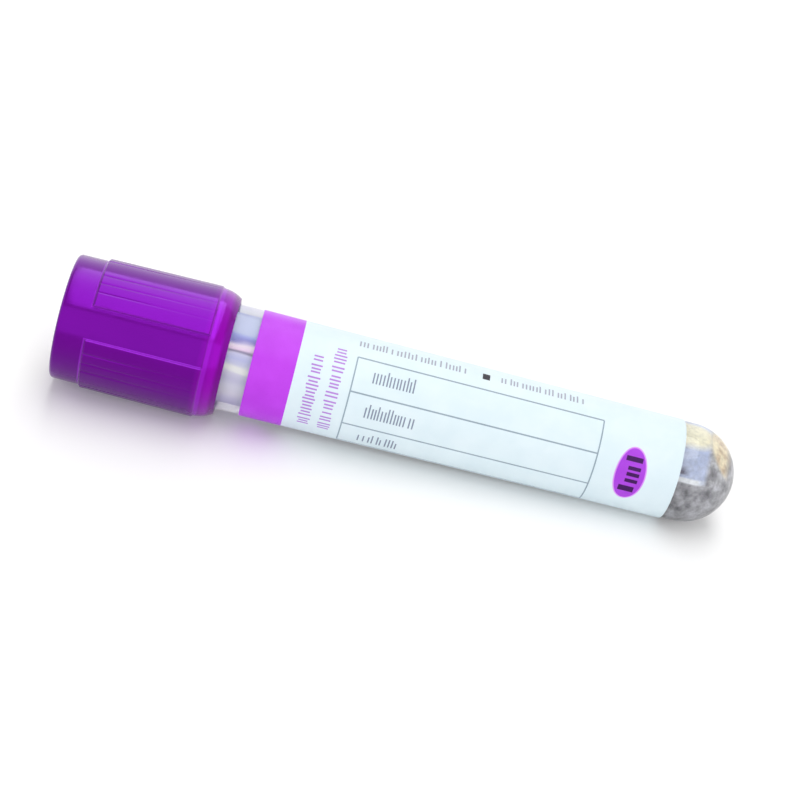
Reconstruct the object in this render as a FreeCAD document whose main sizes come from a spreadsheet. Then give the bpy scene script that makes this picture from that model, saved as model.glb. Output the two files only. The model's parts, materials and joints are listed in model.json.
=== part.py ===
import FreeCAD, Part
import math
import os
import Sketcher

# Blood collection tube, 13 x 75 mm, lying on its side.
#
# Every piece is drawn about the tube's own axis: z is the height above the
# outside of the round end, and the cap is at the top. The placement at the
# end lays the tube down with its cap towards -X, so that it rests on the
# wall of its round end and on the ring at the foot of its cap. The origin
# is then the centre of the bounding box's lowest face, and local +X is up.

# Sizes in millimetres and degrees. Each can be set by itself.
SIZES = [
    # tube
    ("tube_length", 75.0),
    ("mouth_radius", 6.5),
    ("tip_radius", 6.1),
    ("tube_wall", 1.0),
    ("mouth_rounding", 0.3),
    # label
    ("label_thickness", 0.1),
    ("label_start", 7.8),
    ("label_strip_angle", 25.0),
    ("neck_gap", 3.0),
    # additive
    ("additive_thickness", 0.06),
    ("additive_gap", 0.6),
    # cap
    ("cap_length", 20.0),
    ("cap_above_mouth", 8.5),
    ("collar_wall", 0.75),
    ("collar_length", 3.5),
    ("collar_draft", 0.15),
    ("cap_top_rounding", 0.45),
    ("panel_lift_top", 0.3),
    ("panel_lift_foot", 0.35),
    ("panel_edge_break", 0.1),
    ("panel_count", 3),
    ("channel_angle", 30.0),
    ("grip_depth", 0.06),
    ("grip_angle", 2.4),
    ("grip_first_angle", 13.0),
    ("grip_step_angle", 9.5),
    ("foot_ring_length", 2.4),
    ("foot_ring_step", 0.2),
    ("foot_ring_bulge_radius", 4.2),
    ("skirt_clearance", 0.25),
    ("skirt_end_wall", 0.4),
    ("lip_overlap", 0.2),
    ("lip_height", 0.4),
    ("bead_height", 0.6),
    ("bead_clearance", 0.1),
    # stopper
    ("head_overhang", 0.35),
    ("head_seat_gap", 0.03),
    ("plug_clearance", 0.05),
    ("plug_length", 9.0),
    ("plug_lead", 0.6),
    ("seat_margin", 1.0),
    ("well_radius", 2.9),
    ("well_depth", 4.6),
    ("well_floor_rounding", 0.6),
    ("diaphragm_thickness", 2.8),
    ("hollow_radius", 3.4),
    ("dimple_radius", 0.35),
    ("dimple_depth", 0.3),
    ("dimple_circle_radius", 5.4),
    ("dimple_count", 4),
]

# Places and radii that follow from the sizes.
PLACES = [
    # tube: the bore is straight where the plug sits, then narrows to the tip
    ("bore_radius", "mouth_radius - tube_wall"),
    ("tip_bore_radius", "tip_radius - tube_wall"),
    ("seat_start", "tube_length - plug_length - seat_margin"),
    ("wall_slope", "(mouth_radius - tip_radius) / (seat_start - tip_radius)"),
    ("mouth_outer_edge", "mouth_radius - mouth_rounding"),
    ("mouth_inner_edge", "bore_radius + mouth_rounding"),
    ("mouth_edge_height", "tube_length - mouth_rounding"),
    # cap heights
    ("cap_top", "tube_length + cap_above_mouth"),
    ("cap_foot", "cap_top - cap_length"),
    ("ring_top", "cap_foot + foot_ring_length"),
    ("ledge", "cap_top - collar_length"),
    ("lip_floor", "cap_top - lip_height"),
    ("head_floor", "tube_length + head_seat_gap"),
    ("bead_floor", "head_floor - bead_height"),
    ("cap_edge_height", "cap_top - cap_top_rounding"),
    # cap radii
    ("head_radius", "mouth_radius + head_overhang"),
    ("lip_radius", "head_radius - lip_overlap"),
    ("bead_radius", "mouth_radius + bead_clearance"),
    ("skirt_bore_radius", "mouth_radius + skirt_clearance"),
    ("skirt_end_radius", "skirt_bore_radius + skirt_end_wall"),
    ("collar_radius", "head_radius + collar_wall"),
    ("collar_edge_radius", "collar_radius - cap_top_rounding"),
    ("channel_foot_radius", "collar_radius + collar_draft"),
    ("ledge_radius", "collar_radius + collar_draft * (cap_edge_height - ledge)"
                     " / (cap_edge_height - ring_top)"),
    ("panel_top_radius", "ledge_radius + panel_lift_top"),
    ("panel_edge_radius", "panel_top_radius - panel_edge_break"),
    ("panel_edge_height", "ledge - panel_edge_break"),
    ("panel_foot_radius", "channel_foot_radius + panel_lift_foot"),
    ("ring_radius", "panel_foot_radius - foot_ring_step"),
    ("grip_top_radius", "panel_top_radius - grip_depth"),
    ("grip_foot_radius", "panel_foot_radius - grip_depth"),
    ("cutter_radius", "panel_foot_radius + collar_wall"),
    # stopper
    ("plug_radius", "bore_radius - plug_clearance"),
    ("plug_end", "tube_length - plug_length"),
    ("plug_lead_radius", "plug_radius - plug_lead"),
    ("plug_lead_height", "plug_end + plug_lead"),
    ("well_floor", "lip_floor - well_depth"),
    ("well_corner_radius", "well_radius - well_floor_rounding"),
    ("well_corner_height", "well_floor + well_floor_rounding"),
    ("hollow_top", "well_floor - diaphragm_thickness"),
    ("hollow_corner_radius", "hollow_radius - well_floor_rounding"),
    ("hollow_corner_height", "hollow_top - well_floor_rounding"),
    # label, on the outside of the wall
    ("label_end", "cap_foot - neck_gap"),
    ("label_low_radius", "tip_radius + wall_slope * (label_start - tip_radius)"),
    ("label_high_radius", "tip_radius + wall_slope * (label_end - tip_radius)"),
    ("label_low_face", "label_low_radius + label_thickness"),
    ("label_high_face", "label_high_radius + label_thickness"),
    ("label_wrap_angle", "360 - label_strip_angle"),
    # additive, on the inside of the wall
    ("additive_end", "seat_start - additive_gap"),
    ("additive_high_radius", "tip_bore_radius + wall_slope * (additive_end - tip_radius)"),
    ("additive_high_face", "additive_high_radius - additive_thickness"),
    ("additive_tip_face", "tip_bore_radius - additive_thickness"),
    ("additive_floor_face", "tube_wall + additive_thickness"),
    # how it lies: a channel faces down, and a line touches the round end and
    # the ring's widest edge, or the panels' corners if those reach lower
    ("corner_reach", "panel_foot_radius * cos(channel_angle / 2)"),
    ("rest_radius", "max(ring_radius, corner_reach)"),
    ("rest_run", "ring_top - tip_radius"),
    ("rest_span", "sqrt(rest_run * rest_run + rest_radius * rest_radius)"),
    ("rest_tilt", "acos(tip_radius / rest_span) - atan(rest_run / rest_radius)"),
    ("reach_to_cap", "cap_edge_height * cos(rest_tilt) + collar_edge_radius * sin(rest_tilt)"
                     " + cap_top_rounding"),
    ("reach_to_tip", "tip_radius - tip_radius * cos(rest_tilt)"),
    ("rest_x", "(reach_to_cap - reach_to_tip) / 2"),
    ("rest_z", "tip_radius - tip_radius * sin(rest_tilt)"),
]

doc = FreeCAD.newDocument("blood_collection_tube")


def make_sheet():
    """Fill one sheet with the sizes and the places that follow from them."""
    sheet = doc.addObject("Spreadsheet::Sheet", "Sizes")
    for row, (alias, value) in enumerate(SIZES, start=1):
        sheet.set("A%d" % row, alias)
        sheet.set("B%d" % row, str(value))
        sheet.setAlias("B%d" % row, alias)
    for row, (alias, formula) in enumerate(PLACES, start=1):
        sheet.set("D%d" % row, alias)
        sheet.setAlias("E%d" % row, alias)
    for row, (alias, formula) in enumerate(PLACES, start=1):
        sheet.set("E%d" % row, "=" + formula)
    doc.recompute()
    return sheet


sheet = make_sheet()


def value(alias):
    """Read one cell as a plain number."""
    cell = sheet.get(alias)
    return float(getattr(cell, "Value", cell))


def make_body(label):
    body = doc.addObject("PartDesign::Body", label)
    body.Label = label
    return body


def origin_plane(body, role):
    return next(item for item in body.Origin.OriginFeatures if item.Role == role)


def make_sketch(body, name, role="XZ_Plane"):
    sketch = body.newObject("Sketcher::SketchObject", name)
    sketch.AttachmentSupport = [(origin_plane(body, role), "")]
    sketch.MapMode = "FlatFace"
    return sketch


def arc_between(start, end, radius, bulge):
    """Return the arc from start to end; bulge is 1 to turn left, -1 to turn right."""
    chord = end - start
    half = chord.Length / 2
    side = FreeCAD.Vector(-chord.y, chord.x, 0).normalize()
    middle = (start + end) / 2
    centre = middle + side * (bulge * math.sqrt(max(radius * radius - half * half, 0)))
    outward = (middle - centre)
    if outward.Length < 1e-9:
        outward = side * -bulge
    through = centre + outward.normalize() * radius
    return Part.Arc(start, through, end)


def pin_point(sketch, geometry, corner, radius, height):
    """Hold one corner at its radius from the axis and its height."""
    axis = -1
    if radius == "axis":
        sketch.addConstraint(Sketcher.Constraint("PointOnObject", geometry, corner, -2))
    else:
        index = sketch.addConstraint(
            Sketcher.Constraint("DistanceX", axis, 1, geometry, corner, value(radius)))
        sketch.setExpression("Constraints[%d]" % index, "Sizes." + radius)
    if height == "base":
        sketch.addConstraint(Sketcher.Constraint("PointOnObject", geometry, corner, axis))
    else:
        index = sketch.addConstraint(
            Sketcher.Constraint("DistanceY", axis, 1, geometry, corner, value(height)))
        sketch.setExpression("Constraints[%d]" % index, "Sizes." + height)


def draw_profile(sketch, corners):
    """Draw a closed outline through corners held at named radii and heights.

    A corner is (radius, height), or (radius, height, arc radius, bulge) when
    the edge that leaves it is an arc.
    """
    spots = []
    for corner in corners:
        across = 0.0 if corner[0] == "axis" else value(corner[0])
        up = 0.0 if corner[1] == "base" else value(corner[1])
        spots.append(FreeCAD.Vector(across, up, 0))
    ends = []
    for number, corner in enumerate(corners):
        start = spots[number]
        end = spots[(number + 1) % len(spots)]
        if len(corner) == 2:
            sketch.addGeometry(Part.LineSegment(start, end), False)
            ends.append((1, 2))
            continue
        sketch.addGeometry(arc_between(start, end, value(corner[2]), corner[3]), False)
        first = sketch.getPoint(number, 1)
        runs_forward = (first - start).Length < (first - end).Length
        ends.append((1, 2) if runs_forward else (2, 1))
    for number, corner in enumerate(corners):
        following = (number + 1) % len(corners)
        sketch.addConstraint(Sketcher.Constraint(
            "Coincident", number, ends[number][1], following, ends[following][0]))
    for number, corner in enumerate(corners):
        pin_point(sketch, number, ends[number][0], corner[0], corner[1])
        if len(corner) == 4:
            index = sketch.addConstraint(
                Sketcher.Constraint("Radius", number, value(corner[2])))
            sketch.setExpression("Constraints[%d]" % index, "Sizes." + corner[2])


def revolve(body, sketch, kind="PartDesign::Revolution", angle=None):
    """Turn a profile about the tube's axis, all round or by a named angle."""
    name = "Turned_" + sketch.Name
    feature = body.newObject(kind, name)
    feature.Profile = sketch
    feature.ReferenceAxis = (sketch, ["V_Axis"])
    if angle is None:
        feature.Angle = 360.0
    else:
        feature.Midplane = True
        feature.setExpression("Angle", "Sizes." + angle)
    sketch.Visibility = False
    return feature


def polar_copies(body, feature, count):
    """Repeat a feature evenly about the tube's axis."""
    pattern = body.newObject("PartDesign::PolarPattern", "Copies_" + feature.Name)
    pattern.Originals = [feature]
    pattern.Axis = (origin_plane(body, "Z_Axis"), [""])
    pattern.Angle = 360.0
    pattern.setExpression("Occurrences", "Sizes." + count)
    body.Tip = pattern
    return pattern


def lay_down(body):
    """Place a piece as the tube lies: cap towards -X, round end on the floor."""
    body.setExpression(
        "Placement",
        "create(<<placement>>; create(<<vector>>; Sizes.rest_x; 0; Sizes.rest_z);"
        " create(<<rotation>>; create(<<vector>>; 0; 1; 0); Sizes.rest_tilt - 90 deg))")


def make_tube():
    """Round-bottom tube; the wall keeps one thickness down to the round end."""
    body = make_body("tube")
    section = make_sketch(body, "tube_section")
    draw_profile(section, [
        ("axis", "base", "tip_radius", 1),
        ("tip_radius", "tip_radius"),
        ("mouth_radius", "seat_start"),
        ("mouth_radius", "mouth_edge_height", "mouth_rounding", 1),
        ("mouth_outer_edge", "tube_length"),
        ("mouth_inner_edge", "tube_length", "mouth_rounding", 1),
        ("bore_radius", "mouth_edge_height"),
        ("bore_radius", "seat_start"),
        ("tip_bore_radius", "tip_radius", "tip_bore_radius", -1),
        ("axis", "tube_wall"),
    ])
    revolve(body, section)
    return body


def make_label():
    """Label wrapped on the wall, open by a clear strip on the tube's underside."""
    body = make_body("label")
    section = make_sketch(body, "label_section")
    draw_profile(section, [
        ("label_low_radius", "label_start"),
        ("label_low_face", "label_start"),
        ("label_high_face", "label_end"),
        ("label_high_radius", "label_end"),
    ])
    revolve(body, section, angle="label_wrap_angle")
    return body


def make_additive():
    """Thin dried coat on the inner wall, from the round end to below the plug."""
    body = make_body("dried_additive")
    section = make_sketch(body, "additive_section")
    draw_profile(section, [
        ("axis", "tube_wall", "tip_bore_radius", 1),
        ("tip_bore_radius", "tip_radius"),
        ("additive_high_radius", "additive_end"),
        ("additive_high_face", "additive_end"),
        ("additive_tip_face", "tip_radius", "additive_tip_face", -1),
        ("axis", "additive_floor_face"),
    ])
    revolve(body, section)
    return body


def cut_channels(body):
    """Sink the channels between the panels down to the level of the collar."""
    section = make_sketch(body, "channel_section")
    draw_profile(section, [
        ("ledge_radius", "ledge"),
        ("cutter_radius", "ledge"),
        ("cutter_radius", "ring_top"),
        ("channel_foot_radius", "ring_top"),
    ])
    # the first channel is the one that faces down
    section.AttachmentOffset = FreeCAD.Placement(
        FreeCAD.Vector(0, 0, 0), FreeCAD.Rotation(FreeCAD.Vector(0, 1, 0), 180))
    channel = revolve(body, section, "PartDesign::Groove", "channel_angle")
    polar_copies(body, channel, "panel_count")


def cut_grips(body):
    """Cut fine grooves near both sides of every panel; its middle stays smooth."""
    for side in (-1, 1):
        for step in range(3):
            name = "grip_%s_%d" % ("left" if side < 0 else "right", step + 1)
            section = make_sketch(body, name)
            draw_profile(section, [
                ("grip_top_radius", "ledge"),
                ("cutter_radius", "ledge"),
                ("cutter_radius", "ring_top"),
                ("grip_foot_radius", "ring_top"),
            ])
            section.AttachmentOffset = FreeCAD.Placement(
                FreeCAD.Vector(0, 0, 0), FreeCAD.Rotation(FreeCAD.Vector(0, 1, 0), 10))
            section.setExpression(
                "AttachmentOffset.Rotation.Angle",
                "%d * (Sizes.grip_first_angle + %d * Sizes.grip_step_angle)" % (side, step))
            grip = revolve(body, section, "PartDesign::Groove", "grip_angle")
            polar_copies(body, grip, "panel_count")


def make_cap():
    """Sleeve cap: collar, gripping panels, channels and the ring at its foot."""
    body = make_body("cap")
    section = make_sketch(body, "cap_section")
    draw_profile(section, [
        ("skirt_bore_radius", "cap_foot"),
        ("skirt_end_radius", "cap_foot", "foot_ring_bulge_radius", 1),
        ("ring_radius", "ring_top"),
        ("panel_foot_radius", "ring_top"),
        ("panel_top_radius", "panel_edge_height"),
        ("panel_edge_radius", "ledge"),
        ("ledge_radius", "ledge"),
        ("collar_radius", "cap_edge_height", "cap_top_rounding", 1),
        ("collar_edge_radius", "cap_top"),
        ("lip_radius", "cap_top"),
        ("lip_radius", "lip_floor"),
        ("head_radius", "lip_floor"),
        ("head_radius", "head_floor"),
        ("bead_radius", "head_floor"),
        ("bead_radius", "bead_floor"),
        ("skirt_bore_radius", "bead_floor"),
    ])
    revolve(body, section)
    cut_channels(body)
    cut_grips(body)
    return body


def cut_dimples(body):
    """Sink the small moulded dimples into the stopper's top face."""
    section = make_sketch(body, "dimple_circle", "XY_Plane")
    section.AttachmentOffset = FreeCAD.Placement(
        FreeCAD.Vector(0, 0, value("lip_floor")), FreeCAD.Rotation())
    section.setExpression("AttachmentOffset.Base.z", "Sizes.lip_floor")
    centre = FreeCAD.Vector(value("dimple_circle_radius"), 0, 0)
    up = FreeCAD.Vector(0, 0, 1)
    section.addGeometry(Part.Circle(centre, up, value("dimple_radius")), False)
    section.addConstraint(Sketcher.Constraint("PointOnObject", 0, 3, -1))
    reach = section.addConstraint(
        Sketcher.Constraint("DistanceX", -1, 1, 0, 3, value("dimple_circle_radius")))
    section.setExpression("Constraints[%d]" % reach, "Sizes.dimple_circle_radius")
    size = section.addConstraint(Sketcher.Constraint("Radius", 0, value("dimple_radius")))
    section.setExpression("Constraints[%d]" % size, "Sizes.dimple_radius")
    dimple = body.newObject("PartDesign::Pocket", "dimple")
    dimple.Profile = section
    dimple.setExpression("Length", "Sizes.dimple_depth")
    section.Visibility = False
    polar_copies(body, dimple, "dimple_count")


def make_stopper():
    """Rubber stopper: head, plug, needle well above and hollow below."""
    body = make_body("stopper")
    section = make_sketch(body, "stopper_section")
    draw_profile(section, [
        ("axis", "hollow_top"),
        ("hollow_corner_radius", "hollow_top", "well_floor_rounding", -1),
        ("hollow_radius", "hollow_corner_height"),
        ("hollow_radius", "plug_end"),
        ("plug_lead_radius", "plug_end"),
        ("plug_radius", "plug_lead_height"),
        ("plug_radius", "head_floor"),
        ("head_radius", "head_floor"),
        ("head_radius", "lip_floor"),
        ("well_radius", "lip_floor"),
        ("well_radius", "well_corner_height", "well_floor_rounding", -1),
        ("well_corner_radius", "well_floor"),
        ("axis", "well_floor"),
    ])
    revolve(body, section)
    cut_dimples(body)
    return body


parts = [make_tube(), make_label(), make_additive(), make_cap(), make_stopper()]
for part in parts:
    lay_down(part)
doc.recompute()

for item in doc.Objects:
    if "Invalid" in item.State or "Error" in item.State:
        raise RuntimeError("%s failed: %s" % (item.Name, item.State))
for part in parts:
    if part.Shape.isNull() or not part.Shape.isValid() or len(part.Shape.Solids) != 1:
        raise RuntimeError("%s is not one valid solid" % part.Label)

os.makedirs("parts", exist_ok=True)
for part in parts:
    part.Shape.exportStep("parts/%s.step" % part.Label)
    box = part.Shape.BoundBox
    print("%-15s volume %8.2f mm3  x %7.3f..%7.3f  y %7.3f..%7.3f  z %7.3f..%7.3f" % (
        part.Label, part.Shape.Volume, box.XMin, box.XMax, box.YMin, box.YMax, box.ZMin, box.ZMax))
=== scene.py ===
import json
import math
import random

import bmesh
import bpy
from mathutils import Matrix, Vector


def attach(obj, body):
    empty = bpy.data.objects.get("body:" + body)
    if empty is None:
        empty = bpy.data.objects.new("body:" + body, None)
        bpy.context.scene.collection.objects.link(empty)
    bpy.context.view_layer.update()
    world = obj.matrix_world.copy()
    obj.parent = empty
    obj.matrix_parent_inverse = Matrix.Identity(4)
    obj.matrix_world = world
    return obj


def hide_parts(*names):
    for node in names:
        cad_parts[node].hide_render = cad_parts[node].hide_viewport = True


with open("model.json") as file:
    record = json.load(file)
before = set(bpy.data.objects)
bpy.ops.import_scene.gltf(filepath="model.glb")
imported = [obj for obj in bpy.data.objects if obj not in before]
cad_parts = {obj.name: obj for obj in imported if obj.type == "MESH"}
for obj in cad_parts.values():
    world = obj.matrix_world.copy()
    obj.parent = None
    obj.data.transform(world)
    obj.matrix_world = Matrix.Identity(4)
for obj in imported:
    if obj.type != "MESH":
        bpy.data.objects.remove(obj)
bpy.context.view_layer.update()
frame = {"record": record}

MM = 0.001
ON_AXIS = 1e-6  # a smaller radius is a point on the axis

# Sizes in millimetres and degrees, the same as the solids have. A height is
# measured along the tube's axis from the outside of its round end.
TUBE_LENGTH = 75.0
MOUTH_R = 6.5
TIP_R = 6.1
WALL = 1.0
MOUTH_ROUND = 0.3
SEAT_START = 65.0
SLOPE = (MOUTH_R - TIP_R) / (SEAT_START - TIP_R)
LABEL_THICK = 0.1
LABEL_START = 7.8
LABEL_END = 60.5
LABEL_STRIP = 25.0
COAT_THICK = 0.06
COAT_END = 64.4
CAP_TOP = 83.5
CAP_FOOT = 63.5
RING_TOP = 65.9
LEDGE = 80.0
LIP_FLOOR = 83.1
HEAD_FLOOR = 75.03
BEAD_FLOOR = 74.43
CAP_ROUND = 0.45
COLLAR_R = 7.6
COLLAR_DRAFT = 0.15
PANEL_LIFT_TOP = 0.3
PANEL_FOOT_R = 8.1
RING_R = 7.9
RING_BULGE_R = 4.2
SKIRT_END_R = 7.15
SKIRT_BORE_R = 6.75
LIP_R = 6.65
HEAD_R = 6.85
BEAD_R = 6.6
GRIP_DEPTH = 0.06
GRIP_WIDTH = 2.4
GRIPS = (13.0, 22.5, 32.0)
PANEL_PITCH = 120.0
PANELS = (0.0, PANEL_PITCH, 2 * PANEL_PITCH)
CHANNEL_ANGLE = 30.0
PANEL_HALF = (PANEL_PITCH - CHANNEL_ANGLE) / 2
PLUG_R = 5.45
PLUG_END = 66.0
PLUG_LEAD = 0.6
WELL_R = 2.9
WELL_FLOOR = 78.5
FLOOR_ROUND = 0.6
HOLLOW_R = 3.4
HOLLOW_TOP = 75.7
DIMPLE_R = 0.35
DIMPLE_DEPTH = 0.3
DIMPLE_CIRCLE_R = 5.4
GAP = 0.02  # room between pieces that would share a face
BOND = 0.02  # how far the dried coat reaches into the tube's wall

# The tube's own directions, from the well in the stopper: along the tube towards
# the cap, sideways, and up from it. FOOT is the outside of the round end.
well = next(m for m in frame["record"]["mounts"] if m["name"] == "needle_well")
ALONG = Vector(well["axis"]).normalized()
SIDE = Vector((0.0, 1.0, 0.0))
UP = SIDE.cross(ALONG)
FOOT = Vector(well["pos_m"]) - ALONG * (LIP_FLOOR * MM)


def place(radius, angle, height):
    """A point by radius and height in mm, and by its angle in degrees from up."""
    turn = math.radians(angle)
    out = UP * (radius * math.cos(turn)) + SIDE * (radius * math.sin(turn))
    return FOOT + (out + ALONG * height) * MM


# ---------------------------------------------------------------- mesh helpers

def make_object(name, points, faces, body, materials, smooth=35.0):
    """A closed piece; edges that turn by more than smooth degrees stay sharp."""
    mesh = bpy.data.meshes.new(name)
    mesh.from_pydata([tuple(p) for p in points], [], faces)
    mesh.validate()
    outward = bmesh.new()
    outward.from_mesh(mesh)
    bmesh.ops.recalc_face_normals(outward, faces=outward.faces)
    outward.to_mesh(mesh)
    outward.free()
    mesh.shade_smooth()
    mesh.set_sharp_from_angle(angle=math.radians(smooth))
    obj = bpy.data.objects.new(name, mesh)
    bpy.context.scene.collection.objects.link(obj)
    for material in materials:
        mesh.materials.append(material)
    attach(obj, body)
    return obj


def arc(centre, radius, start, end, steps):
    """Profile points on an arc; angles in degrees from outwards to upwards."""
    points = []
    for step in range(steps + 1):
        turn = math.radians(start + (end - start) * step / steps)
        points.append((centre[0] + radius * math.cos(turn),
                       centre[1] + radius * math.sin(turn)))
    return points


def turned(profile, segments):
    """Points and faces of a profile of (radius, height) turned about the axis."""
    points = []
    rings = []
    for radius, height in profile:
        if radius < ON_AXIS:
            rings.append([len(points)] * segments)
            points.append(place(0.0, 0.0, height))
            continue
        rings.append(list(range(len(points), len(points) + segments)))
        for step in range(segments):
            points.append(place(radius, 360.0 * step / segments, height))
    faces = []
    for low, high in zip(rings, rings[1:]):
        for step in range(segments):
            after = (step + 1) % segments
            corners = [low[step], low[after], high[after], high[step]]
            faces.append(list(dict.fromkeys(corners)))
    return points, faces


def spread(low, high, step):
    """Even values from low to high, no further apart than step."""
    count = max(1, math.ceil((high - low) / step - 1e-9))
    return [low + (high - low) * i / count for i in range(count + 1)]


def thinned(values, least):
    """Sorted values without any that nearly repeat the one before."""
    kept = []
    for entry in sorted(values):
        if not kept or entry - kept[-1] > least:
            kept.append(entry)
    return kept


def ease(value):
    """Smooth step from 0 to 1."""
    value = min(1.0, max(0.0, value))
    return value * value * (3.0 - 2.0 * value)


# Columns of the denser meshes, and how near two columns or rows may be.
EVEN_ANGLES = spread(0.0, 358.0, 2.0)
NEAR_ANGLE = 0.1
NEAR_HEIGHT = 0.005


# ------------------------------------------------------------------- materials

def srgb(*channels):
    """A colour as seen on screen, 0 to 255, as the linear one that nodes take."""
    values = []
    for channel in channels:
        share = channel / 255.0
        dark = share <= 0.04045
        values.append(share / 12.92 if dark else ((share + 0.055) / 1.055) ** 2.4)
    return (*values, 1.0)


# Numbers of the Mix node's sockets: share, first and second.
MIX_VALUES = (0, 2, 3)
MIX_COLOURS = (0, 6, 7)
MIX_COLOUR_OUT = 2


class Nodes:
    """Short calls that make one material's node tree."""

    def __init__(self, name):
        self.material = bpy.data.materials.new(name)
        self.material.use_nodes = True
        self.tree = self.material.node_tree
        self.shader = self.tree.nodes["Principled BSDF"]

    def add(self, kind, **inputs):
        """A new node; an input's name has _ for each space."""
        node = self.tree.nodes.new(kind)
        for key, setting in inputs.items():
            node.inputs[key.replace("_", " ")].default_value = setting
        return node

    def link(self, source, target):
        self.tree.links.new(source, target)

    def set(self, **inputs):
        """Plain values on the shader's own sockets."""
        for key, setting in inputs.items():
            self.shader.inputs[key.replace("_", " ")].default_value = setting

    def drive(self, key, source):
        """A pattern on one of the shader's sockets."""
        self.link(source, self.shader.inputs[key])

    def calculate(self, operation, *sources):
        """Arithmetic on one or two sockets or plain numbers."""
        node = self.add("ShaderNodeMath")
        node.operation = operation
        for socket, source in zip(node.inputs, sources):
            if isinstance(source, float):
                socket.default_value = source
            else:
                self.link(source, socket)
        return node.outputs["Value"]

    def vector_math(self, operation, source, other=(0.0, 0.0, 0.0)):
        """The node for arithmetic on a vector socket and a plain vector."""
        node = self.add("ShaderNodeVectorMath")
        node.operation = operation
        self.link(source, node.inputs[0])
        node.inputs[1].default_value = other
        return node

    def location(self):
        """Object coordinates in metres."""
        return self.add("ShaderNodeTexCoord").outputs["Object"]

    def noise(self, scale, detail=2.0, roughness=0.5, stretch=(1.0, 1.0, 1.0)):
        """Noise with scale in waves per millimetre, stretched along X, Y and Z."""
        mapping = self.add("ShaderNodeMapping", Scale=[share / MM for share in stretch])
        self.link(self.location(), mapping.inputs["Vector"])
        node = self.add("ShaderNodeTexNoise", Scale=scale, Detail=detail,
                        Roughness=roughness)
        self.link(mapping.outputs["Vector"], node.inputs["Vector"])
        return node.outputs["Fac"]

    def reach(self, direction):
        """Millimetres from the outside of the round end, along a direction."""
        away = self.vector_math("SUBTRACT", self.location(), FOOT)
        part = self.vector_math("DOT_PRODUCT", away.outputs["Vector"], direction / MM)
        return part.outputs["Value"]

    def radius(self):
        """Millimetres from the axis."""
        across = self.add("ShaderNodeCombineXYZ")
        self.link(self.reach(SIDE), across.inputs["X"])
        self.link(self.reach(UP), across.inputs["Y"])
        return self.vector_math("LENGTH", across.outputs["Vector"]).outputs["Value"]

    def from_panel(self):
        """Degrees round the axis from the middle of the cap's nearest panel."""
        turn = self.calculate("ARCTAN2", self.reach(SIDE), self.reach(UP))
        degrees = self.range(turn, -math.pi, math.pi, -180.0, 180.0)
        return self.calculate("PINGPONG", degrees, PANEL_PITCH / 2)

    def blend(self, share, first, second):
        """First colour at share 0, second at 1; each is a socket or a plain colour."""
        node = self.add("ShaderNodeMix")
        node.data_type = "RGBA"
        for number, source in zip(MIX_COLOURS, (share, first, second)):
            if isinstance(source, tuple):
                node.inputs[number].default_value = source
            else:
                self.link(source, node.inputs[number])
        return node.outputs[MIX_COLOUR_OUT]

    def mixed(self, share, first, second):
        """First value at share 0, second at 1."""
        node = self.add("ShaderNodeMix")
        node.data_type = "FLOAT"
        for number, source in zip(MIX_VALUES, (share, first, second)):
            self.link(source, node.inputs[number])
        return node.outputs["Result"]

    def product(self, first, second):
        return self.calculate("MULTIPLY", first, second)

    def total(self, first, second):
        return self.calculate("ADD", first, second)

    def ramp(self, source, stops):
        """Colours by the source's value, from pairs of a value and a colour."""
        node = self.add("ShaderNodeValToRGB")
        elements = node.color_ramp.elements
        while len(elements) < len(stops):
            elements.new(0.5)
        for element, (position, colour) in zip(elements, stops):
            element.position = position
            element.color = colour
        self.link(source, node.inputs["Fac"])
        return node.outputs["Color"]

    def range(self, source, low, high, to_low=0.0, to_high=1.0):
        """The source's share of the way from low to high, as a value in another range."""
        node = self.add("ShaderNodeMapRange", From_Min=low, From_Max=high,
                        To_Min=to_low, To_Max=to_high)
        self.link(source, node.inputs["Value"])
        return node.outputs["Result"]

    def strip(self, source, low, high, soft):
        """1 where the source is between low and high, 0 outside, with soft edges."""
        return self.product(self.range(source, low, low + soft),
                            self.range(source, high, high - soft))

    def bump(self, source, strength, distance):
        """Fine relief, with its depth in millimetres."""
        node = self.add("ShaderNodeBump", Strength=strength, Distance=distance * MM)
        self.link(source, node.inputs["Height"])
        self.drive("Normal", node.outputs["Normal"])


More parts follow.
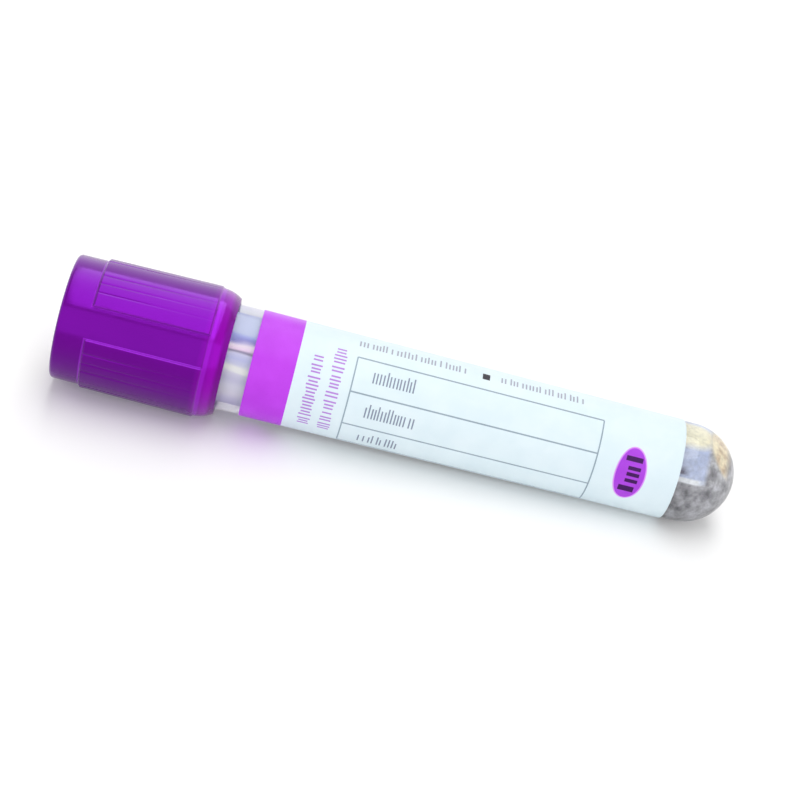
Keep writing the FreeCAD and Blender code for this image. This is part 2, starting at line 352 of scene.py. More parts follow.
def cap_plastic():
    """Glossy moulded plastic with faint flow marks, and painted highlights on the panels'
    edges.

    It has a painted glow where light would come through the slim skirt, and painted shade
    at the skirt's very end.
    """
    made = Nodes("purple_plastic")
    made.set(IOR=1.72, Specular_IOR_Level=1.0, Specular_Tint=srgb(176, 46, 255))
    flow = made.noise(0.16, 3.0, 0.55, (0.5, 1.0, 1.0))
    colour = made.ramp(flow, [(0.3, srgb(80, 0, 94)), (0.7, srgb(90, 0, 106))])

    along = made.reach(ALONG)
    # Painted glow: a pinker tone towards the foot, where light would shine through the
    # skirt.
    skirt_glow = made.range(along, RING_TOP + 0.8, CAP_FOOT + 1.3)
    colour = made.blend(skirt_glow, colour, srgb(138, 0, 152))
    # Painted highlight: a lighter line along the edge of the ring at the cap's foot.
    ring_highlight = made.product(made.range(along, RING_TOP + 0.05, RING_TOP - 0.1),
                             made.range(along, RING_TOP - 0.65, RING_TOP - 0.45))
    colour = made.blend(ring_highlight, colour, srgb(142, 22, 172))

    # Painted highlights: lighter lines along the panels' sides and along their ends at the
    # ledge.
    angle = made.from_panel()
    beside = made.product(made.strip(angle, PANEL_HALF - 1.1, PANEL_HALF + 1.1, 0.5),
                          made.strip(along, RING_TOP, LEDGE + 0.05, 0.1))
    above = made.product(made.strip(along, LEDGE - 0.22, LEDGE + 0.1, 0.08),
                         made.range(angle, PANEL_HALF + 1.1, PANEL_HALF + 0.6))
    outside = made.range(made.radius(), COLLAR_R - 0.4, COLLAR_R - 0.3)
    for panel_highlight in (beside, above):
        share = made.product(panel_highlight, outside)
        colour = made.blend(share, colour, srgb(128, 26, 162))

    # Painted shade: darker at the very end of the skirt, where it turns in.
    skirt_end_shade = made.range(along, CAP_FOOT + 0.95, CAP_FOOT + 0.45)
    made.drive("Base Color", made.blend(skirt_end_shade, colour, srgb(100, 0, 92)))
    haze = made.noise(0.5, 4.0, 0.6)
    made.drive("Roughness", made.range(haze, 0.3, 0.7, 0.1, 0.19))
    made.bump(made.noise(1.6, 2.0, 0.5), 0.05, 0.05)
    return made.material


def rubber():
    """Butyl rubber: light warm grey with a fine grain and a dull sheen.

    It has painted shade down in the needle's well.
    """
    made = Nodes("grey_rubber")
    made.set(IOR=1.52, Specular_IOR_Level=0.4)
    cloud = made.noise(0.7, 4.0, 0.6)
    face = made.ramp(cloud, [(0.3, srgb(168, 163, 158)), (0.7, srgb(182, 177, 171))])
    # Painted shade: the colour turns dark down in the needle's well.
    along = made.reach(ALONG)
    down = made.range(along, LIP_FLOOR - 0.1, LIP_FLOOR - 1.0)
    over = made.range(along, WELL_FLOOR - 0.4, WELL_FLOOR - 0.1)
    well_shade = made.product(down, over)
    made.drive("Base Color", made.blend(well_shade, face, srgb(30, 34, 44)))
    grain = made.noise(9.0, 3.0, 0.6)
    made.drive("Roughness", made.range(grain, 0.3, 0.7, 0.42, 0.6))
    made.bump(grain, 0.12, 0.03)
    return made.material


def film(name, lighter, darker, rough=(0.3, 0.42)):
    """Printed label film: satin, with a faint cloud in its tone."""
    made = Nodes(name)
    made.set(IOR=1.5, Specular_IOR_Level=0.2)
    cloud = made.noise(0.22, 3.0, 0.6)
    made.drive("Base Color", made.ramp(cloud, [(0.35, darker), (0.65, lighter)]))
    grain = made.noise(6.0, 3.0, 0.6)
    made.drive("Roughness", made.range(grain, 0.3, 0.7, *rough))
    made.bump(made.noise(2.5, 3.0, 0.6), 0.06, 0.03)
    return made.material


def clear_plastic():
    """Clear polyester, which lets more light in where the tube is bare."""
    made = Nodes("clear_polyester")
    made.set(Base_Color=srgb(244, 249, 250), IOR=1.5, Transmission_Weight=1.0)
    along = made.reach(ALONG)
    neck = made.range(along, LABEL_END - 1.5, LABEL_END - 0.5, 1.0, 0.4)
    mouth = made.range(along, COAT_END - 0.5, COAT_END + 1.0, 0.0, 0.25)
    made.drive("Alpha", made.total(neck, mouth))
    haze = made.noise(0.4, 3.0, 0.6)
    made.drive("Roughness", made.range(haze, 0.35, 0.7, 0.015, 0.06))
    made.bump(made.noise(0.8, 2.0, 0.5), 0.04, 0.04)
    return made.material


def round_end_colour(made, spots, along, up):
    """Painted steel-blue reflection above, the spray's grey blotches below, darker as
    painted shade, and a painted tan glint on top.
    """
    # The spray's own blotches, darker than the colour above as painted shade.
    blotched = made.ramp(spots, [
        (0.34, srgb(108, 106, 112)),
        (0.48, srgb(164, 160, 166)),
        (0.62, srgb(204, 201, 207)),
        (0.78, srgb(238, 236, 242)),
    ])
    # Painted reflection: smooth steel blue on the upper side.
    smooth = made.ramp(spots, [(0.35, srgb(178, 188, 222)), (0.65, srgb(206, 212, 238))])
    nose = made.ramp(spots, [
        (0.34, srgb(104, 100, 106)),
        (0.5, srgb(152, 148, 154)),
        (0.66, srgb(212, 209, 214)),
    ])
    upper = made.blend(made.range(along, 4.2, 4.8), nose, smooth)
    colour = made.blend(made.range(up, 1.5, 1.8), blotched, upper)

    # A painted white highlight runs between the two, and a dark patch sits over it by the
    # label.
    white_highlight = made.product(made.range(up, 1.45, 1.65), made.range(up, 2.2, 2.0))
    white_highlight = made.product(white_highlight, made.range(along, 4.2, 5.4))
    colour = made.blend(white_highlight, colour, srgb(250, 250, 255))
    dark_patch = made.product(made.range(up, 2.3, 2.5), made.range(up, 3.3, 2.7))
    dark_patch = made.product(dark_patch, made.range(along, 6.5, 7.3))
    colour = made.blend(dark_patch, colour, srgb(104, 98, 128))

    # Painted highlight: a warm tan glint along the top of the round end.
    tan = made.ramp(made.noise(0.9, 2.0, 0.5),
                    [(0.4, srgb(250, 232, 198)), (0.62, srgb(212, 184, 150))])
    warm = made.blend(made.range(along, 3.4, 5.2), tan, srgb(255, 246, 218))
    arch = made.total(up, made.range(along, 1.4, 4.4, 3.6, 0.0))
    glint_share = made.product(made.range(arch, 4.5, 4.9), made.range(along, 1.7, 2.5))
    return made.blend(glint_share, colour, warm)


def neck_colour(made, streak_height):
    """Lengthwise streaks from the lowest to the highest: the dried spray's pale streaks,
    with painted reflections as white highlight lines, dark lines and a blue band at the
    top.
    """
    return made.ramp(made.range(streak_height, -5.5, 5.5), [
        (0.2, srgb(222, 218, 250)),
        (0.35, srgb(244, 240, 255)),
        (0.46, srgb(240, 238, 255)),
        (0.55, srgb(222, 218, 246)),
        (0.6, srgb(230, 226, 246)),
        (0.625, srgb(255, 254, 255)),
        (0.665, srgb(255, 254, 255)),
        (0.7, srgb(222, 222, 248)),
        (0.75, srgb(206, 208, 250)),
        (0.8, srgb(226, 224, 255)),
        (0.82, srgb(140, 130, 166)),
        (0.845, srgb(255, 226, 255)),
        (0.885, srgb(255, 238, 255)),
        (0.905, srgb(132, 128, 210)),
        (0.95, srgb(160, 168, 236)),
        (0.99, srgb(206, 214, 246)),
    ])


def dried_coat():
    """Dried spray: mottled at the round end and streaked at the neck, with painted
    reflections, highlights and shade in its colour.
    """
    made = Nodes("dried_coat")
    made.set(IOR=1.45, Specular_IOR_Level=0.5)
    spots = made.noise(0.6, 4.0, 0.6)
    up = made.reach(UP)
    along = made.reach(ALONG)
    round_end = round_end_colour(made, spots, along, up)
    # The neck's painted reflections follow the height round the tube, moved a little by the
    # spray's streaks.
    streaks = made.noise(0.45, 2.0, 0.5, (0.2, 1.0, 1.0))
    streak_height = made.total(up, made.range(streaks, 0.3, 0.7, -0.5, 0.5))
    at_neck = made.range(along, 40.0, 50.0)  # the change is under the label
    made.drive("Base Color", made.blend(at_neck, round_end, neck_colour(made, streak_height)))
    made.drive("Roughness", made.range(spots, 0.3, 0.7, 0.35, 0.7))
    mist = made.range(made.noise(2.2, 4.0, 0.7), 0.3, 0.6, 0.75, 0.98)
    neck_mist = made.range(streak_height, 1.0, 4.0, 0.86, 0.9)
    at_end = made.range(along, 55.0, 45.0)  # and so is this one
    made.drive("Alpha", made.mixed(at_end, neck_mist, mist))
    made.bump(spots, 0.25, 0.05)
    return made.material


GLOSSY_INK = (0.26, 0.36)
PURPLE = cap_plastic()
GREY_RUBBER = rubber()
FILM = film("label_film", srgb(227, 241, 247), srgb(221, 237, 244))
INK_BAND = film("ink_band", srgb(196, 68, 238), srgb(188, 60, 230), GLOSSY_INK)
INK_WORDS = film("ink_words", srgb(186, 132, 220), srgb(178, 124, 214))
INK_TABLE = film("ink_table", srgb(152, 170, 184), srgb(144, 162, 176))
INK_ENTRY = film("ink_entry", srgb(134, 144, 166), srgb(126, 136, 158))
INK_CODE = film("ink_code", srgb(168, 172, 188), srgb(160, 164, 180))
INK_DARK = film("ink_dark", srgb(40, 34, 48), srgb(32, 26, 40))
INK_BADGE = film("ink_badge", srgb(176, 70, 226), srgb(168, 62, 218), GLOSSY_INK)
INK_RIM = film("ink_rim", srgb(224, 150, 246), srgb(216, 142, 240), GLOSSY_INK)
INK_FIGURE = film("ink_figure", srgb(64, 0, 90), srgb(56, 0, 80))
CLEAR = clear_plastic()
COAT = dried_coat()


# ------------------------------------------------------------------------ tube

TUBE_SEGMENTS = 256
TIP_CENTRE = (0.0, TIP_R)
BORE_R = MOUTH_R - WALL
ROUND_START = TUBE_LENGTH - MOUTH_ROUND
BESIDE = 0.1  # a loop this far from a rounding keeps its shading to itself
mouth = (arc((MOUTH_R - MOUTH_ROUND, ROUND_START), MOUTH_ROUND, 0.0, 90.0, 6)
         + arc((BORE_R + MOUTH_ROUND, ROUND_START), MOUTH_ROUND, 90.0, 180.0, 6))
profile = (arc(TIP_CENTRE, TIP_R, -90.0, 0.0, 30)
           + [(TIP_R + SLOPE * BESIDE, TIP_R + BESIDE), (MOUTH_R, SEAT_START),
              (MOUTH_R, ROUND_START - BESIDE)]
           + mouth
           + [(BORE_R, ROUND_START - BESIDE), (BORE_R, SEAT_START),
              (TIP_R - WALL + SLOPE * BESIDE, TIP_R + BESIDE)]
           + arc(TIP_CENTRE, TIP_R - WALL, 0.0, -90.0, 30))
points, faces = turned(profile, TUBE_SEGMENTS)
tube = make_object("tube", points, faces, "vial", [CLEAR])
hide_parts("tube")

# ------------------------------------------------------------- dried additive

COAT_SEGMENTS = 192
coat_r = TIP_R - WALL + BOND
coat_inner_r = TIP_R - WALL - COAT_THICK
coat_top_r = coat_r + SLOPE * (COAT_END - TIP_R)
profile = (arc(TIP_CENTRE, coat_r, -90.0, 0.0, 24)
           + [(coat_top_r, COAT_END), (coat_top_r - COAT_THICK - BOND, COAT_END)]
           + arc(TIP_CENTRE, coat_inner_r, 0.0, -90.0, 24))
points, faces = turned(profile, COAT_SEGMENTS)
coat = make_object("dried_additive", points, faces, "vial", [COAT])
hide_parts("dried_additive")

# ----------------------------------------------------------------------- label

BAND_START = 55.3
LABEL_STEP = 2.0


def wall_radius(height):
    """Radius of the tube's own wall under the label."""
    return TIP_R + SLOPE * (height - TIP_R)


label_half = 180.0 - LABEL_STRIP / 2
angles = spread(-label_half, label_half, LABEL_STEP)
heights = [LABEL_START, BAND_START, LABEL_END]
points = [place(wall_radius(height) + lift, angle, height)
          for lift in (LABEL_THICK, GAP) for height in heights for angle in angles]
faces = []
inks = []
columns = len(angles)
rows = len(heights)
under = rows * columns
for row in range(rows - 1):
    for column in range(columns - 1):
        corner = row * columns + column
        faces.append((corner, corner + 1, corner + columns + 1, corner + columns))
        inks.append(row)
        corner += under
        faces.append((corner, corner + columns, corner + columns + 1, corner + 1))
        inks.append(0)
rim = list(range(columns))
rim += [row * columns + columns - 1 for row in range(1, rows)]
rim += [(rows - 1) * columns + column for column in range(columns - 2, -1, -1)]
rim += [row * columns for row in range(rows - 2, 0, -1)]
for here, there in zip(rim, rim[1:] + rim[:1]):
    faces.append((here, here + under, there + under, there))
    inks.append(0)
label = make_object("label", points, faces, "vial", [FILM, INK_BAND],
                    smooth=50.0)
label.data.polygons.foreach_set("material_index", inks)
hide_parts("label")

# ----------------------------------------------------------------------- print

# An angle of the print is counted from the middle of the printed side, and grows
# down it as the tube lies.
MIDDLE = -59.0
INK_THICK = 0.012
INK_SUNK = 0.01
INK_STEP = 2.0

# Shares of a row's height and of its pitch that chance gives to each stroke.
STROKE_FOOT = 0.33
STROKE_RISES = (0.33, 0.33, 0.33, 0.55)
STROKE_HEIGHTS = (0.66, 0.8, 0.9)
GAPS_ALONG = (0.85, 0.95, 1.0, 1.5)
GAPS_ROUND = (0.85, 0.95, 1.0, 1.45)
chance = random.Random(4)


class Ink:
    """Printed shapes of one ink: thin patches that lie on the label."""

    def __init__(self, name, material, layer=1):
        self.name = name
        self.material = material
        self.high = LABEL_THICK + INK_THICK * layer
        self.low = self.high - INK_THICK - INK_SUNK
        self.points = []
        self.faces = []

    def patch(self, high, low, start, end):
        """A patch between two angles and two heights."""
        first = len(self.points)
        angles = spread(MIDDLE - low, MIDDLE - high, INK_STEP)
        section = ((start, self.high), (end, self.high), (end, self.low), (start, self.low))
        for angle in angles:
            for height, lift in section:
                self.points.append(place(wall_radius(height) + lift, angle, height))
        for step in range(len(angles) - 1):
            here = first + 4 * step
            for side in range(4):
                after = (side + 1) % 4
                self.faces.append((here + side, here + after,
                                   here + 4 + after, here + 4 + side))
        last = first + 4 * (len(angles) - 1)
        self.faces.append((first + 3, first + 2, first + 1, first))
        self.faces.append((last, last + 1, last + 2, last + 3))

    def oval(self, high, low, start, end, steps=64, rings=10):
        """A filled oval that touches two angles and two heights."""
        first = len(self.points)
        middle = MIDDLE - (high + low) / 2
        centre = (start + end) / 2
        layer = 1 + rings * steps
        for lift in (self.high, self.low):
            self.points.append(place(wall_radius(centre) + lift, middle, centre))
            for ring in range(1, rings + 1):
                for step in range(steps):
                    turn = 2 * math.pi * step / steps
                    height = centre + (end - start) / 2 * math.sin(turn) * ring / rings
                    angle = middle + (low - high) / 2 * math.cos(turn) * ring / rings
                    self.points.append(place(wall_radius(height) + lift, angle, height))
        for base in (first, first + layer):
            for step in range(steps):
                after = (step + 1) % steps
                self.faces.append((base, base + 1 + step, base + 1 + after))
                for ring in range(rings - 1):
                    low_ring = base + 1 + ring * steps
                    self.faces.append((low_ring + step, low_ring + steps + step,
                                       low_ring + steps + after, low_ring + after))
        outer = first + 1 + (rings - 1) * steps
        for step in range(steps):
            after = (step + 1) % steps
            self.faces.append((outer + step, outer + after,
                               outer + after + layer, outer + step + layer))

    def strokes_along(self, middle, tall, start, end, pitch, thick):
        """A row of plain strokes in place of words, down the tube from start to end."""
        height = start
        while height - thick >= end:
            rise = math.degrees(tall * chance.choice(STROKE_RISES) / TIP_R)
            foot = math.degrees(tall * STROKE_FOOT / TIP_R)
            self.patch(middle - rise, middle + foot, height - thick, height)
            height -= pitch * chance.choice(GAPS_ALONG)

    def strokes_round(self, high, low, middle, tall, pitch, thick):
        """A row of plain strokes in place of words, round the tube from high to low."""
        wide = math.degrees(thick / MOUTH_R)
        angle = high
        while angle + wide <= low:
            half = tall * chance.choice(STROKE_HEIGHTS) / 2
            self.patch(angle, angle + wide, middle - half, middle + half)
            angle += math.degrees(pitch / MOUTH_R) * chance.choice(GAPS_ROUND)

    def finish(self):
        """The piece with all its shapes."""
        make_object(self.name, self.points, self.faces, "vial",
                    [self.material], smooth=50.0)


LINE = 0.17
LINE_ANGLE = math.degrees(LINE / TIP_R)
TABLE_LINES = (-35.2, 3.4, 41.0, 78.5)
TABLE_START = 18.0
TABLE_END = 48.4
table = Ink("printed_table", INK_TABLE)
for angle in TABLE_LINES:
    table.patch(angle - LINE_ANGLE / 2, angle + LINE_ANGLE / 2, TABLE_START, TABLE_END)
for height in (TABLE_START, TABLE_END):
    table.patch(TABLE_LINES[0], TABLE_LINES[-1], height - LINE / 2, height + LINE / 2)

words = Ink("printed_words", INK_WORDS)
words.strokes_round(-25.0, 58.0, 52.9, 1.7, 0.46, 0.2)
words.strokes_round(-40.0, 61.0, 50.4, 1.7, 0.46, 0.2)

entries = Ink("printed_entries", INK_ENTRY)
for above, below, end in zip(TABLE_LINES, TABLE_LINES[1:], (40.7, 39.8, 41.2)):
    entries.strokes_along((above + below) / 2, 1.9, 46.1, end, 0.43, 0.17)

code = Ink("printed_code", INK_CODE)
for start, end in ((48.5, 35.0), (31.0, 20.5)):
    code.strokes_along(-56.0, 1.5, start, end, 0.46, 0.19)

marks = Ink("printed_marks", INK_DARK)
marks.patch(-60.0, -50.0, 32.4, 33.3)
marks.patch(94.0, 108.5, BAND_START, BAND_START + 1.6)

# The oval spot near the round end has plain bars in place of its figures.
SPOT = (-14.0, 50.0, 11.65, 15.45)
RIM_ANGLE = 1.6
RIM_WIDE = 0.16
spot_rim = Ink("printed_spot_rim", INK_RIM)
spot_rim.oval(*SPOT)
spot = Ink("printed_spot", INK_BADGE, layer=2)
spot.oval(SPOT[0] + RIM_ANGLE, SPOT[1] - RIM_ANGLE, SPOT[2] + RIM_WIDE, SPOT[3] - RIM_WIDE)
bars = Ink("printed_bars", INK_FIGURE, layer=3)
bars.patch(-3.0, 2.5, 12.45, 14.5)
for high in (8.0, 15.0, 22.5):
    bars.patch(high, high + 4.2, 12.45, 14.0)
bars.patch(31.5, 38.5, 12.6, 14.5)
for ink in (table, words, entries, code, marks, spot_rim, spot, bars):
    ink.finish()

# ------------------------------------------------------------------------- cap

PANEL_EASE = 1.6  # degrees over which a panel's side rises
EDGE_EASE = 0.16  # half the height over which its ends rise
GRIP_FADE = 0.25  # share of its depth that a groove keeps at the panel's foot
UPRIGHT = CAP_TOP - CAP_ROUND


def panel_share(angle):
    """1 on a panel, 0 in a channel, with eased edges; and the angle from its middle."""
    nearest = min(abs((angle - panel + 180.0) % 360.0 - 180.0) for panel in PANELS)
    return ease((PANEL_HALF - nearest) / PANEL_EASE + 0.5), nearest


def ring_radius(height):
    """Radius of the convex ring at the foot of the cap."""
    run = RING_TOP - CAP_FOOT
    drop = RING_R - SKIRT_END_R
    chord = math.hypot(run, drop)
    reach = math.sqrt(RING_BULGE_R ** 2 - (chord / 2) ** 2)
    centre_r = (RING_R + SKIRT_END_R) / 2 - reach * run / chord
    centre_h = (RING_TOP + CAP_FOOT) / 2 + reach * drop / chord
    return centre_r + math.sqrt(max(0.0, RING_BULGE_R ** 2 - (height - centre_h) ** 2))


def collar_radius(height):
    """Radius of the drafted collar, and of the channels that go on from it."""
    return COLLAR_R + COLLAR_DRAFT * (UPRIGHT - height) / (UPRIGHT - RING_TOP)


def cap_radius(angle, height):
    """Radius of the cap's outside."""
    if height > UPRIGHT:
        rise = height - UPRIGHT
        return COLLAR_R - CAP_ROUND + math.sqrt(max(0.0, CAP_ROUND ** 2 - rise ** 2))
    base = collar_radius(height)
    share, from_middle = panel_share(angle)
    top_r = collar_radius(LEDGE) + PANEL_LIFT_TOP
    panel = top_r + (PANEL_FOOT_R - top_r) * (LEDGE - height) / (LEDGE - RING_TOP)
    for grip in GRIPS:
        off = abs(from_middle - grip) / (GRIP_WIDTH / 2)
        if off < 1.0:
            rise = ease((height - RING_TOP) / (LEDGE - RING_TOP))
            fade = GRIP_FADE + (1.0 - GRIP_FADE) * rise
            panel -= GRIP_DEPTH * fade * (0.5 + 0.5 * math.cos(math.pi * off))
    share *= ease((LEDGE - height) / (2 * EDGE_EASE))
    radius = base + (panel - base) * share
    if height < RING_TOP + EDGE_EASE:
        foot = ring_radius(min(height, RING_TOP))
        radius += (foot - radius) * ease((RING_TOP + EDGE_EASE - height) / (2 * EDGE_EASE))
    return radius


# Columns of the mesh: every 2 degrees, and closer at the grooves and panel sides.
cap_angles = set(EVEN_ANGLES)
side_spread = spread(PANEL_HALF - PANEL_EASE * 0.6, PANEL_HALF + PANEL_EASE * 0.6, 0.24)
for grip in GRIPS:
    side_spread += spread(grip - GRIP_WIDTH / 2, grip + GRIP_WIDTH / 2, 0.375)
for panel in PANELS:
    for side in (-1, 1):
        for angle in side_spread:
            cap_angles.add(round((panel + side * angle) % 360.0, 3))
cap_angles = thinned(cap_angles, NEAR_ANGLE)

# Rows of the mesh: (start, end, step) in height, then the rounded top edge.
cap_heights = set()
for start, end, step in ((CAP_FOOT, RING_TOP - 0.2, 0.2),
                         (RING_TOP - 0.2, RING_TOP + 0.2, 0.04),
                         (RING_TOP + 0.2, LEDGE - 0.4, 1.4),
                         (LEDGE - 0.4, LEDGE + 0.05, 0.04),
                         (LEDGE + 0.05, UPRIGHT, 1.0)):
    cap_heights.update(spread(start, end, step))
for _, height in arc((0.0, UPRIGHT), CAP_ROUND, 0.0, 90.0, 8)[1:]:
    cap_heights.add(height)
cap_heights = thinned(cap_heights, NEAR_HEIGHT)

LIP_ROUND = 0.12
FOOT_BEVEL = 0.12
inner = ([(LIP_R + LIP_ROUND + 0.1, CAP_TOP)]
         + arc((LIP_R + LIP_ROUND, CAP_TOP - LIP_ROUND), LIP_ROUND, 90.0, 180.0, 5)
         + [(LIP_R, LIP_FLOOR), (HEAD_R, LIP_FLOOR), (HEAD_R, HEAD_FLOOR),
            (BEAD_R, HEAD_FLOOR), (BEAD_R, BEAD_FLOOR), (SKIRT_BORE_R, BEAD_FLOOR),
            (SKIRT_BORE_R, CAP_FOOT + FOOT_BEVEL), (SKIRT_BORE_R + FOOT_BEVEL, CAP_FOOT)])
points = [place(cap_radius(angle, height), angle, height)
          for height in cap_heights for angle in cap_angles]
points += [place(radius, angle, height) for radius, height in inner for angle in cap_angles]
faces = []
around = len(cap_angles)
rings = range(0, len(points), around)
for ring, after_ring in zip(rings, [*rings[1:], 0]):
    for step in range(around):
        after = (step + 1) % around
        faces.append((ring + step, ring + after, after_ring + after, after_ring + step))
cap = make_object("cap", points, faces, "closure", [PURPLE], smooth=40.0)
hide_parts("cap")

# --------------------------------------------------------------------- stopper

TOP_ROUND = 0.15
PLUG_ROOT_ROUND = 0.2
HOLLOW_BEVEL = 0.15
DIMPLE_REACH = 0.55  # rows of the mesh are closer within this of the dimples
DIMPLE_ANGLE = 6.0  # and columns within this
DIMPLE_RIM = DIMPLE_R + 0.05
DIMPLE_EASE = 0.14

dimple_start = DIMPLE_CIRCLE_R - DIMPLE_REACH
dimple_end = DIMPLE_CIRCLE_R + DIMPLE_REACH
face_radii = (spread(WELL_R + TOP_ROUND, dimple_start, 0.2)[:-1]
              + spread(dimple_start, dimple_end, 0.07)[:-1]
              + spread(dimple_end, HEAD_R - TOP_ROUND - GAP, 0.2))
stopper_angles = set(EVEN_ANGLES)
for quarter in range(4):
    for angle in spread(-DIMPLE_ANGLE, DIMPLE_ANGLE, 0.75):
        stopper_angles.add(round((90.0 * quarter + angle) % 360.0, 3))
stopper_angles = thinned(stopper_angles, NEAR_ANGLE)


def dimple_drop(radius, angle):
    """How far the face of the stopper is sunk at a point."""
    off = abs((angle + 45.0) % 90.0 - 45.0)
    away = math.hypot(radius - DIMPLE_CIRCLE_R, math.radians(off) * DIMPLE_CIRCLE_R)
    return DIMPLE_DEPTH * ease((DIMPLE_RIM - away) / DIMPLE_EASE)


well_profile = ([(0.0, WELL_FLOOR)]
                + arc((WELL_R - FLOOR_ROUND, WELL_FLOOR + FLOOR_ROUND), FLOOR_ROUND,
                      -90.0, 0.0, 6)
                + arc((WELL_R + TOP_ROUND, LIP_FLOOR - TOP_ROUND), TOP_ROUND,
                      180.0, 90.0, 5)[:-1])
body_profile = (arc((HEAD_R - TOP_ROUND - GAP, LIP_FLOOR - TOP_ROUND - GAP), TOP_ROUND,
                    90.0, 0.0, 5)[1:]
                + [(HEAD_R - GAP, HEAD_FLOOR), (PLUG_R + PLUG_ROOT_ROUND, HEAD_FLOOR)]
                + arc((PLUG_R + PLUG_ROOT_ROUND, HEAD_FLOOR - PLUG_ROOT_ROUND),
                      PLUG_ROOT_ROUND, 90.0, 180.0, 4)[1:]
                + [(PLUG_R, PLUG_END + PLUG_LEAD), (PLUG_R - PLUG_LEAD, PLUG_END),
                   (HOLLOW_R + HOLLOW_BEVEL, PLUG_END), (HOLLOW_R, PLUG_END + HOLLOW_BEVEL)]
                + arc((HOLLOW_R - FLOOR_ROUND, HOLLOW_TOP - FLOOR_ROUND), FLOOR_ROUND,
                      0.0, 90.0, 6)
                + [(0.0, HOLLOW_TOP)])
points = []
rings = []


def add_rings(profile, drop=lambda radius, angle: 0.0):
    """Rings of the stopper's mesh, and a single point where one is on the axis."""
    for radius, height in profile:
        pole = radius < ON_AXIS
        rings.append((len(points), pole))
        for angle in ([0.0] if pole else stopper_angles):
            points.append(place(radius, angle, height - drop(radius, angle)))


add_rings(well_profile)
add_rings([(radius, LIP_FLOOR - GAP) for radius in face_radii], dimple_drop)
add_rings(body_profile)
faces = []
around = len(stopper_angles)
for (low, low_pole), (high, high_pole) in zip(rings, rings[1:]):
    for step in range(around):
        after = (step + 1) % around
        if low_pole:
            faces.append((low, high + step, high + after))
        elif high_pole:
            faces.append((low + after, low + step, high))
        else:
            faces.append((low + after, low + step, high + step, high + after))
stopper = make_object("stopper", points, faces, "closure", [GREY_RUBBER],
                      smooth=40.0)
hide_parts("stopper")

# ---------------------------------------------------------------------- camera

# The camera looks at the printed side, with the tube slanting down to the right.
VIEW_HEIGHT = 57.5
VIEW_DISTANCE = 238.0
VIEW_ELEVATION = 31.2
VIEW_FIELD = 23.0
AIM_HEIGHT = 42.0
TILT_IN_VIEW = math.radians(14.2)
eye = place(VIEW_DISTANCE, VIEW_ELEVATION - 90.0, VIEW_HEIGHT)
forward = (place(0.0, 0.0, AIM_HEIGHT) - eye).normalized()
tipward = -ALONG
flat = (tipward - forward * tipward.dot(forward)).normalized()
over = (-forward).cross(flat)
right = flat * math.cos(TILT_IN_VIEW) + over * math.sin(TILT_IN_VIEW)
above = -flat * math.sin(TILT_IN_VIEW) + over * math.cos(TILT_IN_VIEW)
camera_data = bpy.data.cameras.new("camera")
camera_data.angle = math.radians(VIEW_FIELD)
camera_data.clip_start = 0.01
camera = bpy.data.objects.new("camera", camera_data)
camera.matrix_world = Matrix((
    (right.x, above.x, -forward.x, eye.x),
    (right.y, above.y, -forward.y, eye.y),
    (right.z, above.z, -forward.z, eye.z),
    (0.0, 0.0, 0.0, 1.0)))
bpy.context.scene.collection.objects.link(camera)
bpy.context.scene.camera = camera

# ------------------------------------------------------------- floor and light

WHITE = (1.0, 1.0, 1.0, 1.0)
FLOOR_GREY = (0.92, 0.92, 0.92, 1.0)
FLOOR_REACH = 3.0
WORLD_LIGHT = 0.24


def seen_share(tree):
    """1 for rays that show the background: straight, mirrored or through clear plastic."""
    rays = tree.nodes.new("ShaderNodeLightPath")
    seen = rays.outputs["Is Camera Ray"]
    for name in ("Is Glossy Ray", "Is Transmission Ray"):
        either = tree.nodes.new("ShaderNodeMath")
        either.operation = "MAXIMUM"
        tree.links.new(seen, either.inputs[0])
        tree.links.new(rays.outputs[name], either.inputs[1])
        seen = either.outputs["Value"]
    return seen


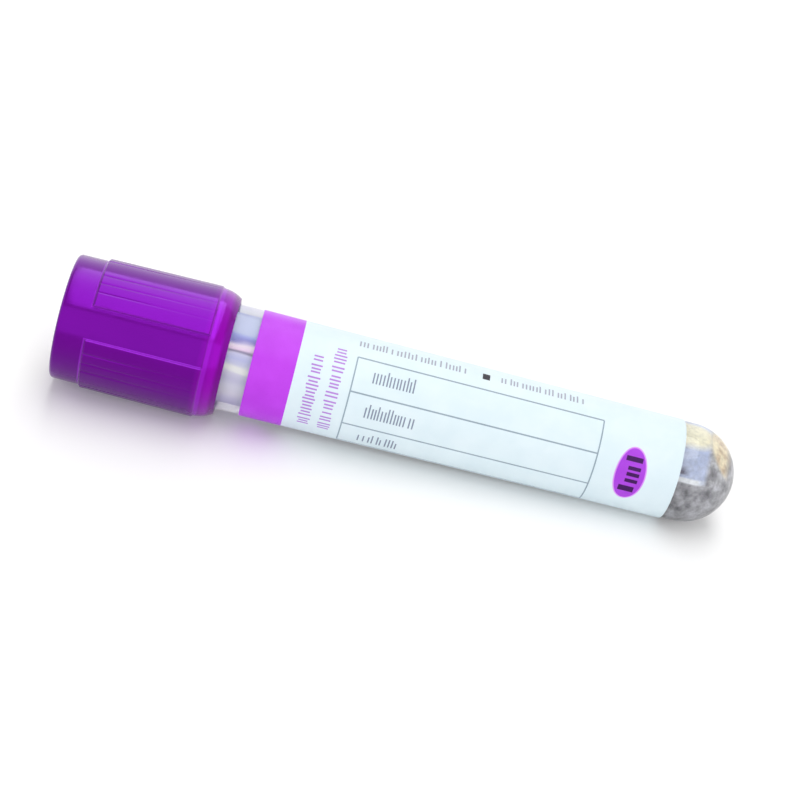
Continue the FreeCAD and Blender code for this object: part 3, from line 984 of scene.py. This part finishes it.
# The floor keeps the object's shadow near it, and turns to white further off.
pale = Nodes("pale_floor")
pale.set(Base_Color=FLOOR_GREY, Roughness=0.9, Specular_IOR_Level=0.1, Emission_Color=WHITE)
away = pale.vector_math("LENGTH", pale.location()).outputs["Value"]
far = pale.range(away, 0.05, 0.7, 0.1, 0.7)
pale.drive("Emission Strength", pale.product(far, seen_share(pale.tree)))
floor_mesh = bpy.data.meshes.new("floor")
corners = [(x * FLOOR_REACH, y * FLOOR_REACH, 0.0)
           for x, y in ((-1, -1), (1, -1), (1, 1), (-1, 1))]
floor_mesh.from_pydata(corners, [], [(0, 1, 2, 3)])
floor_mesh.materials.append(pale.material)
floor = bpy.data.objects.new("floor", floor_mesh)
bpy.context.scene.collection.objects.link(floor)


def softbox(name, where, target, size, brightness):
    """A lamp as bright as brightness, where 1 is white."""
    data = bpy.data.lights.new(name, "AREA")
    data.shape = "RECTANGLE"
    data.size, data.size_y = size
    data.energy = brightness * math.pi * size[0] * size[1]
    lamp = bpy.data.objects.new(name, data)
    lamp.location = where
    aim = Vector(target) - Vector(where)
    lamp.rotation_euler = aim.to_track_quat("-Z", "Y").to_euler()
    bpy.context.scene.collection.objects.link(lamp)


softbox("softbox_top", (0.04, 0.09, 0.75), (0.04, 0.09, 0.0), (0.42, 1.3), 2.6)
softbox("softbox_front", (0.0, -1.0, 0.47), (0.0, 0.0, 0.0), (2.4, 0.95), 1.0)
softbox("softbox_back", (0.0, 1.0, 0.47), (0.0, 0.0, 0.0), (2.4, 0.95), 0.55)
softbox("softbox_right", (1.0, -0.1, 0.5), (0.0, -0.1, 0.5), (1.2, 1.0), 0.6)
softbox("softbox_left", (-1.0, -0.1, 0.5), (0.0, -0.1, 0.5), (1.2, 1.0), 0.6)

# The world is a white backdrop to the eye, and only a dim light to the object.
world = bpy.data.worlds.new("world")
bpy.context.scene.world = world
world.use_nodes = True
links = world.node_tree.links
backdrop = world.node_tree.nodes["Background"]
backdrop.inputs["Color"].default_value = WHITE
strength = world.node_tree.nodes.new("ShaderNodeMapRange")
strength.inputs["To Min"].default_value = WORLD_LIGHT
strength.inputs["To Max"].default_value = 1.0
links.new(seen_share(world.node_tree), strength.inputs["Value"])
links.new(strength.outputs["Result"], backdrop.inputs["Strength"])

bpy.context.scene.view_settings.view_transform = "Standard"
